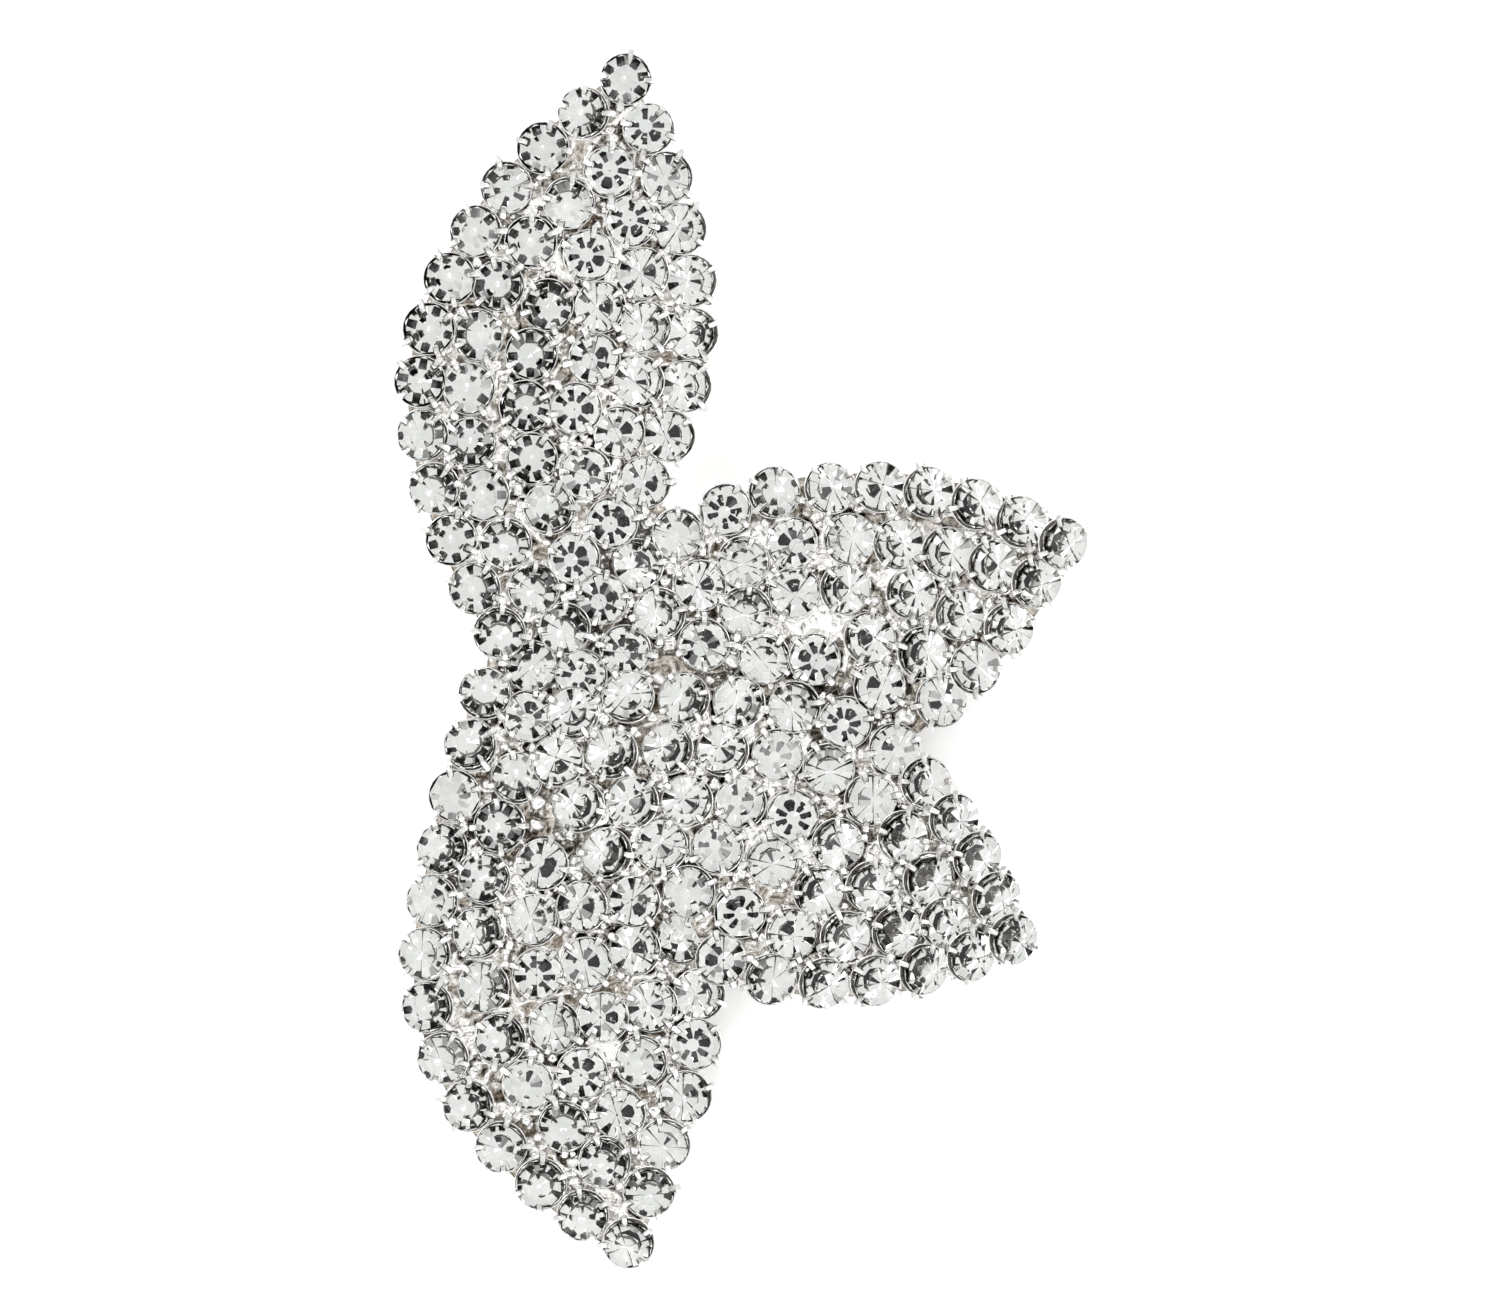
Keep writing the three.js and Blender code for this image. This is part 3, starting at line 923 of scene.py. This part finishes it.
def plate(name, flower, petal, seats, pools, material):
    """A petal's plate with the solder on it, cut to the web between the cups."""
    front = seats.fronts[petal]
    mine = seats.petal == petal
    middles = seats.foot[mine][:, :2]
    own_web = web_between(middles)
    over = np.isin(seats.petal, [other for other in seats.fronts if seats.lies_over(other, petal)])
    beside = seats.girdle[~mine & ~over][:, :2]
    joined = seats.foot[mine | over][:, :2]
    in_hub = np.linalg.norm(joined - HUB[0], axis=1) < HUB[1]
    joint_web = web_between(joined, np.where(in_hub, HUB_WEB_REACH, JOINT_WEB_REACH))

    def inset(plan, most_in_joints=PLATE_MARGIN):
        """How far inside the plate's edge places are, and in joints at most this."""
        own = beyond(own_web, plan)
        over_table = flower.frame(front.lifted(plan, PLATE_BACK_LEVEL))[:, 2] / MM
        from_cups = np.linalg.norm(plan[:, None] - beside[None], axis=2).min(1, initial=np.inf)
        from_web = JOINT_STEEPNESS * (JOINT_MARGIN - beyond(joint_web, plan))
        spread = [JOINT_REACH - own, from_web, over_table - TABLE_ROOM, from_cups - CUP_RADIUS]
        return np.maximum(PLATE_MARGIN - own, np.min(spread, axis=0).clip(max=most_in_joints))

    low = middles.min(0) - JOINT_REACH - PLATE_GRID
    high = middles.max(0) + JOINT_REACH + PLATE_GRID
    plan, quads, border = cut_grid(low, high, inset)
    from_cup = from_axes(front.lifted(plan, FILL_LEVEL), seats.foot[mine], seats.normal[mine])[1].min(1)
    fine = noise_over(plan, FINE_WAVES)
    level = FILL_LEVEL + FILL_SPREAD * (noise_over(plan, WIDE_WAVES) + fine)
    seen = front.lifted(plan, POOL_LEVEL)[:, :2]
    for pool in pools:
        near = np.linalg.norm(seen - pool, axis=1) / POOL_RADIUS
        rise = np.exp(-(near**4))
        level = level * (1 - rise) + (POOL_LEVEL + POOL_WAVE * fine) * rise
    edge = np.clip(inset(plan, JOINT_MARGIN) / PLATE_ROUNDING, 0, 1)
    between = np.clip((from_cup - FILL_START) / FILL_RISE, 0, 1) * edge
    level = PLATE_FRONT_LEVEL + np.clip(level - PLATE_FRONT_LEVEL, 0, None) * between
    rounding = PLATE_ROUNDING_DEPTH * (1 - np.sqrt(edge))
    back = PLATE_BACK_LEVEL + rounding + PLATE_BACK_WAVE * fine
    vertices = np.vstack([front.lifted(plan, level - rounding), front.lifted(plan, back)])
    if over.any():
        dip = under_cups(vertices[:len(plan)], seats.foot[over], seats.normal[over])
        over_table = flower.frame(vertices[len(plan):])[:, 2] / MM - TABLE_ROOM
        vertices[:, 2] -= np.tile(np.minimum(dip, np.clip(over_table, 0, None)), 2)
    size = len(plan)
    sides = np.column_stack([border[:, 1], border[:, 0], border[:, 0] + size, border[:, 1] + size])
    faces = np.vstack([quads, quads[:, ::-1] + size, sides])
    obj = mesh_object(name, flower.frame(vertices), faces)
    # How far down each point lies: this sets the solder's painted shade and where its stains are; the back is
    # given a set depth
    depth = obj.data.attributes.new("depth", "FLOAT", "POINT")
    depth.data.foreach_set("value", np.append(-level, np.full(size, PLATE_BACK_DEPTH)))
    obj.data.materials.append(material)
    return obj


def grains(seats, pairs, a_pair, levels, most):
    """Lumps of solder in the gaps between cups: places, ways up and sizes that keep clear of every cup."""
    both = np.repeat(np.array(pairs), a_pair, axis=0)
    up = seats.normal[both].sum(1)
    up /= np.linalg.norm(up, axis=1)[:, None]
    spread = rng.uniform(-GRAIN_SPREAD, GRAIN_SPREAD, (len(both), 2))
    level = rng.uniform(*levels, len(both))
    places = seats.foot[both].mean(1) + up * level[:, None]
    places[:, :2] += spread
    along, aside = from_axes(places, seats.foot, seats.normal)
    deep = along < CUP_BASE_LEVEL - BEAD_RADIUS
    room = np.where(deep, np.inf, aside).min(1) - CUP_RADIUS
    enclosed = np.sort(aside, axis=1)[:, 2] < GRAIN_REACH
    kept = (room > GRAIN_ROOM) & enclosed
    sizes = np.clip(room[kept] * GRAIN_FULLNESS / BEAD_RADIUS, LEAST_GRAIN, most)
    return places[kept], up[kept], sizes


def petal_pieces(petal, flower, seats, tree, shapes, finishes):
    """Plate, cups, claws, solder beads and stones of one petal."""
    mine = seats.petal == petal
    foot = seats.foot[mine]
    normal = seats.normal[mine]
    turn = seats.turn[mine]
    seat_places = flower.frame(foot)
    short = petal.replace("petal_", "")
    seed = list(ROWS).index(petal) * SEEDS_A_PETAL + SEED
    ones = np.ones(len(foot))

    lies = [lie_of(flower, n, t) for n, t in zip(normal, turn)]
    # Cups: silver outside, and inside a dark finish that is painted shade
    cups = set_on_seats(f"{short}_cups", tree, shapes["cup"], seat_places, lies, ones,
                        finishes["silver"], finishes["shaded_well"], seed, tilt=1.5, size=0.01)

    claw_places = np.repeat(seat_places, CLAWS, axis=0)
    claw_lies = [lie_of(flower, n, t + 2 * math.pi * k / CLAWS)
                 for n, t in zip(normal, turn) for k in range(CLAWS)]
    claws = set_on_seats(f"{short}_claws", tree, shapes["claw"], claw_places, claw_lies,
                         np.ones(len(claw_places)), finishes["claw"], None, seed + 1,
                         tilt=3.5, turn=17.0, size=0.1, height=0.08)

    stones = []
    for lot in STONE_DEPTH:
        chosen = np.nonzero(seats.lot[mine] == lot)[0]
        if len(chosen):
            stones.append(set_on_seats(f"{short}_{lot}_stones", tree, shapes[lot], seat_places[chosen],
                                       [lies[i] for i in chosen], ones[chosen], finishes["crystal"],
                                       finishes["foil"], seed + 2, tilt=3.0, turn=180.0, height=0.04))

    among = [(a, b) for a, b in seats.pairs() if mine[a] and mine[b]]
    places, ups, sizes = grains(seats, among, GRAINS_A_PAIR, GRAIN_LEVELS, MOST_GRAIN)
    beads = [lie_of(flower, up, turn) for up, turn in zip(ups, rng.uniform(0, 2 * math.pi, len(ups)))]
    solder = set_on_seats(f"{short}_solder", tree, shapes["bead"], flower.frame(places), beads, sizes,
                          finishes["claw"], None, seed + 3, tilt=40.0, size=0.2, height=0.3)

    base = plate(f"{short}_plate", flower, petal, seats, POOLS[petal], finishes["solder"])
    return {"silver": [base, cups, claws, solder], "crystal": stones}


def joint_solder(flower, seats, tree, shapes, finish):
    """Lumps of solder between the petals, under the overlaps."""
    across = [(a, b) for a, b in seats.pairs(JOINT_PAIR_REACH) if seats.petal[a] != seats.petal[b]]
    places, ups, sizes = grains(seats, across, JOINT_GRAINS_A_PAIR, JOINT_LEVELS, MOST_JOINT_GRAIN)
    lies = [lie_of(flower, up, turn) for up, turn in zip(ups, rng.uniform(0, 2 * math.pi, len(ups)))]
    return set_on_seats("joint_solder", tree, shapes["bead"], flower.frame(places), lies, sizes, finish,
                        None, SEED, tilt=40.0, size=0.15, height=0.2)


# ---------------------------------------------------------------------------------------------- the set


# The pale room: its level of light by the angle from straight behind the viewer, in degrees
ROOM = [(0, 0.01), (7.6, 0.01), (10.0, 0.92), (34, 1.04), (58, 0.98), (72, 0.80), (95, 0.66), (180, 0.6)]

# Softboxes: turned to the right and up from the viewer's place, their half angle, and their extra light
SOFTBOXES = [
    (-34, 36, 14, 1.3),
    (38, 24, 11, 1.0),
    (6, -42, 13, 0.9),
    (-52, -20, 11, 1.3),
    (62, -34, 12, 1.1),
    (-22, -8, 4, 0.6),
]
SOFTBOX_FADE = 1.25           # they have faded out at this many times their half angle


def studio_world(flower):
    """A pale room, darker straight behind the viewer's place, with softboxes round it."""
    world = bpy.data.worlds.new("pale_room")
    bpy.context.scene.world = world
    world.use_nodes = True
    graph = Graph(world.node_tree)
    direction = graph.node("ShaderNodeTexCoord", output="Generated")

    def towards(way):
        inputs = {0: direction, 1: Vector(flower.axes @ way)}
        return graph.node("ShaderNodeVectorMath", {"operation": "DOT_PRODUCT"}, inputs, output="Value")

    angle = graph.math("ARCCOSINE", towards((0, 0, 1))) / math.pi
    level = graph.ramp(angle, [(degrees / 180, grey(value)) for degrees, value in ROOM])
    level = graph.node("ShaderNodeRGBToBW", inputs={"Color": level})
    for right, up, half, extra in SOFTBOXES:
        right, up, half = map(math.radians, (right, up, half))
        way = (math.sin(right) * math.cos(up), math.sin(up), math.cos(right) * math.cos(up))
        level = level + towards(way).between(math.cos(half * SOFTBOX_FADE), math.cos(half)) * extra
    background = graph.node("ShaderNodeBackground", inputs={"Color": level, "Strength": 1.0})
    graph.node("ShaderNodeOutputWorld", inputs={"Surface": background})


def pale_table():
    reach = 600 * MM
    corners = [(-reach, -reach, 0), (reach, -reach, 0), (reach, reach, 0), (-reach, reach, 0)]
    obj = mesh_object("table", corners, [(0, 1, 2, 3)])
    obj.data.materials.append(table_material())


def camera(flower):
    """Square to the flower, with the whole of it in view. Lengths are in millimetres."""
    distance = 700.0
    shown_width = 93.5
    middle_level = 3.0
    data = bpy.data.cameras.new("camera")
    data.sensor_width = 36.0
    data.lens = data.sensor_width * distance / shown_width
    data.clip_start = 0.05
    data.clip_end = 20.0
    obj = bpy.data.objects.new("camera", data)
    bpy.context.scene.collection.objects.link(obj)
    middle = flower.size / 2
    place = flower.frame(np.array([[*middle, distance + middle_level]]))[0]
    obj.matrix_world = Matrix.Translation(place) @ flower.turn.to_4x4()
    bpy.context.scene.camera = obj


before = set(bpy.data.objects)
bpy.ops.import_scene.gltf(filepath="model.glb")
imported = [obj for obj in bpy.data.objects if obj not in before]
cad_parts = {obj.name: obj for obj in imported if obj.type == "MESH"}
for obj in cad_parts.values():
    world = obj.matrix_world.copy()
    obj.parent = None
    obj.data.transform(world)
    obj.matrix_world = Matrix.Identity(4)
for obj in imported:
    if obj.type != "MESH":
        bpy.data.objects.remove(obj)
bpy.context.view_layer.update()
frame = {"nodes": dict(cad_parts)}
nodes = frame["nodes"]

flower = Flower(nodes)
fronts = {name: Front(flower, nodes[name]) for name in ROWS}
seats = Seats(fronts)

finishes = {part: silver_material(*row) for part, row in SILVERS.items()}
finishes |= {
    "solder": plate_material(),
    "crystal": crystal_material(),
    "foil": foil_material(),
}
shapes = {"cup": cup_shape(), "claw": claw_shape(), "bead": bead_shape()}
shapes |= {lot: stone_shape(depth) for lot, depth in STONE_DEPTH.items()}
tree = seating_tree()

for petal in ROWS:
    for slot, pieces in petal_pieces(petal, flower, seats, tree, shapes, finishes).items():
        for piece in pieces:
            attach(piece, "root")
            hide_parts(petal)

joints = joint_solder(flower, seats, tree, shapes, finishes["silver"])
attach(joints, "root")

post = nodes["ear_post"]
post.data.materials.clear()
post.data.materials.append(finishes["post"])

for shape in shapes.values():
    bpy.data.objects.remove(shape)

pale_table()
studio_world(flower)
camera(flower)
bpy.context.scene.view_settings.view_transform = "Standard"
